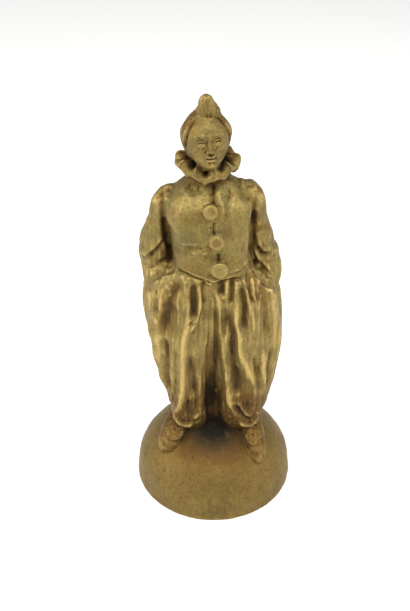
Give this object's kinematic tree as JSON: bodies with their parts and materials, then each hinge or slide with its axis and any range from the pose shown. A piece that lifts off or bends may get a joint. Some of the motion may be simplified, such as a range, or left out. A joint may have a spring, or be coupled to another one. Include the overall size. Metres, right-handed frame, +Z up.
{
  "type": "bronze clown figure",
  "caption": "Standing cast bronze clown in a skullcap, ruff, buttoned jacket and baggy trousers, hands in pockets, on a domed base.",
  "frame": {"origin": "centre of the flat round underside of the base", "axes": "+Z up along the figure, -Y the way the figure faces, +X towards the viewer's right"},
  "size_m": [0.1, 0.1, 0.2731],
  "materials": {
    "bronze": "cast bronze with a satin golden-brown patina, rubbed bright on the high spots and dark in the folds"
  },
  "bodies": {
    "root": {"clown_figure": "bronze"}
  },
  "joints": []
}
